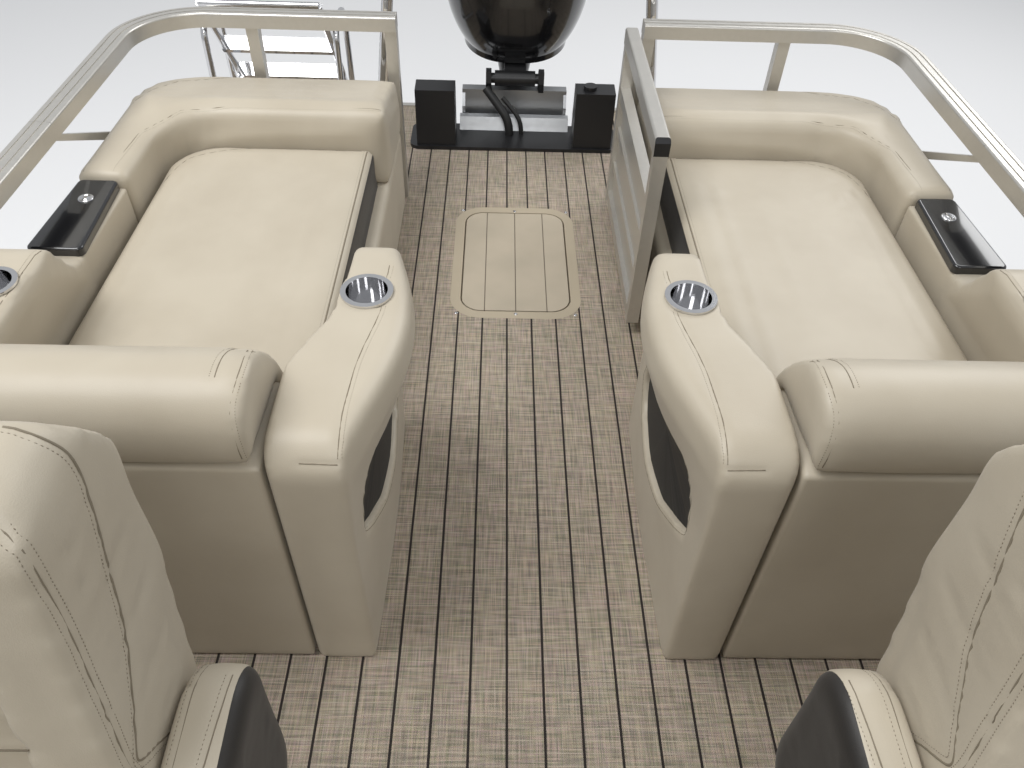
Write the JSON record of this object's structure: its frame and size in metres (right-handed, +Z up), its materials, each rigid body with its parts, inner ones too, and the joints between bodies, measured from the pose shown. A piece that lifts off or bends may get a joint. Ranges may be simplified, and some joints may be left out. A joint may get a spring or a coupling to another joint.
{
  "type": "pontoon boat",
  "caption": "Pontoon boat: a railed flat deck on parallel tubes, with stern loungers, bow lounges, swivel chairs, a helm console, gates and a tilting outboard motor.",
  "frame": {"origin": "under the centre tube's keel strip amidships, on the plane that the keel strips stand on", "axes": "+X forward to the bow, +Y to port, +Z up"},
  "size_m": [7.6583, 2.59, 2.025],
  "materials": {
    "tube_aluminium": "brushed, bright",
    "frame_aluminium": "mill finish",
    "pod_aluminium": "mill finish",
    "floor_weave": "woven vinyl, beige-brown with fine seams",
    "trim_silver": "satin",
    "well_black": "black, satin",
    "locker_plastic": "matt",
    "hatch_beige": "fine grain",
    "hatch_beige_lid": "fine grain",
    "rail_silver": "satin, warm silver",
    "gate_silver": "satin, warm silver",
    "panel_skin": "gloss, plain",
    "bar_chrome": "polished",
    "grab_chrome": "polished",
    "ladder_chrome": "polished",
    "moulded_beige": "fine grain",
    "moulded_beige_bow": "fine grain",
    "vinyl_cream": "soft vinyl, stitched",
    "vinyl_cream_back": "soft vinyl, stitched",
    "vinyl_cream_roll": "soft vinyl, stitched",
    "vinyl_arm": "soft vinyl, stitched",
    "vinyl_side_arm": "soft vinyl, stitched",
    "vinyl_bow_cushion": "soft vinyl, stitched",
    "vinyl_bow_back": "soft vinyl, stitched",
    "gloss_black": "piano black",
    "cup_chrome": "polished",
    "pedestal_metal": "satin",
    "chair_vinyl": "soft vinyl, stitched, charcoal outer sides",
    "chair_back_vinyl": "soft vinyl, stitched",
    "console_beige": "gel coat",
    "screen_glass": "tinted, clear",
    "wheel_black": "soft grip",
    "throttle_black": "satin",
    "motor_bracket": "gloss black",
    "motor_bracket_swivel": "gloss black",
    "motor_leg": "gloss black",
    "cowl_black": "gloss black",
    "engine_iron": "plain",
    "propeller_steel": "polished",
    "hose_rubber": "matt",
    "cleat_chrome": "polished"
  },
  "bodies": {
    "boat": {"pontoon_port": "tube_aluminium", "pontoon_centre": "tube_aluminium", "pontoon_starboard": "tube_aluminium", "crossmembers": "frame_aluminium", "deck": "floor_weave", "deck_edge_trim": "trim_silver", "motor_pod": "pod_aluminium", "splash_well": "well_black", "floor_locker": "locker_plastic", "hatch_ring": "hatch_beige", "stern_fence": "rail_silver", "side_fence": "rail_silver", "bow_fence": "rail_silver", "fence_panels": "panel_skin", "tow_bar": "bar_chrome", "ladder_grab_rails": "grab_chrome", "lounger_bases": "moulded_beige", "mattresses": "vinyl_cream", "stern_backrests": "vinyl_cream_back", "bolsters": "vinyl_cream_roll", "aisle_arms": "vinyl_arm", "side_trays": "gloss_black", "side_arms": "vinyl_side_arm", "cup_holders": "cup_chrome", "chair_pedestals": "pedestal_metal", "helm_console": "console_beige", "windscreen": "screen_glass", "throttle": "throttle_black", "bow_bases": "moulded_beige_bow", "bow_cushions": "vinyl_bow_cushion", "bow_backrests": "vinyl_bow_back", "clamp_bracket": "motor_bracket", "rigging_hoses": "hose_rubber", "cleats": "cleat_chrome"},
    "swivel": {"swivel_bracket": "motor_bracket_swivel"},
    "motor": {"outboard_leg": "motor_leg", "outboard_cowl": "cowl_black", "engine_block": "engine_iron"},
    "propeller": {"propeller": "propeller_steel"},
    "wheel": {"steering_wheel": "wheel_black"},
    "stern_gate": {"stern_gate": "gate_silver"},
    "bow_gate": {"bow_gate": "gate_silver"},
    "side_gate": {"side_gate": "gate_silver"},
    "hatch": {"hatch_lid": "hatch_beige_lid"},
    "ladder": {"boarding_ladder": "ladder_chrome"},
    "chair_port": {"chair_seat_port": "chair_vinyl", "chair_back_port": "chair_back_vinyl"},
    "chair_starboard": {"chair_seat_starboard": "chair_vinyl", "chair_back_starboard": "chair_back_vinyl"}
  },
  "joints": [
    {"name": "outboard_tilt", "type": "hinge", "parent": "boat", "child": "swivel", "pos_m": [-3.18, 0, 1.02], "axis": [0, 1, 0], "range_deg": [-16, 52]},
    {"name": "outboard_steer", "type": "hinge", "parent": "swivel", "child": "motor", "pos_m": [-3.32672, 0, 1.05119], "axis": [0.2079, 0, 0.9781], "range_deg": [-30, 30]},
    {"name": "propeller_spin", "type": "hinge", "parent": "motor", "child": "propeller", "pos_m": [-3.83039, 0, 0.26881], "axis": [0.9781, 0, -0.2079], "continuous": true},
    {"name": "wheel_turn", "type": "hinge", "parent": "boat", "child": "wheel", "pos_m": [0.505, -0.62, 1.61], "axis": [-0.866, 0, 0.5], "range_deg": [-720, 720]},
    {"name": "stern_gate_swing", "type": "hinge", "parent": "boat", "child": "stern_gate", "pos_m": [-2.575, 0.385, 1.1], "axis": [0, 0, 1], "range_deg": [-90, 0]},
    {"name": "bow_gate_swing", "type": "hinge", "parent": "boat", "child": "bow_gate", "pos_m": [3.015, 0.385, 1.1], "axis": [0, 0, 1], "range_deg": [-90, 0]},
    {"name": "side_gate_swing", "type": "hinge", "parent": "boat", "child": "side_gate", "pos_m": [0.91, 1.165, 1.1], "axis": [0, 0, 1], "range_deg": [0, 90]},
    {"name": "hatch_open", "type": "hinge", "parent": "boat", "child": "hatch", "pos_m": [-2.4975, 0, 0.82], "axis": [0, -1, 0], "range_deg": [0, 95]},
    {"name": "ladder_fold", "type": "hinge", "parent": "boat", "child": "ladder", "pos_m": [-3.395, -0.935, 0.844], "axis": [0, 1, 0], "range_deg": [-218, 0]},
    {"name": "chair_swivel_port", "type": "hinge", "parent": "boat", "child": "chair_port", "pos_m": [-0.17, 0.64, 1.12], "axis": [0, 0, 1], "continuous": true},
    {"name": "chair_swivel_starboard", "type": "hinge", "parent": "boat", "child": "chair_starboard", "pos_m": [-0.17, -0.64, 1.12], "axis": [0, 0, 1], "continuous": true}
  ],
  "couplings": [
    {"joint": "wheel_turn", "follows": "outboard_steer", "ratio": -24}
  ]
}
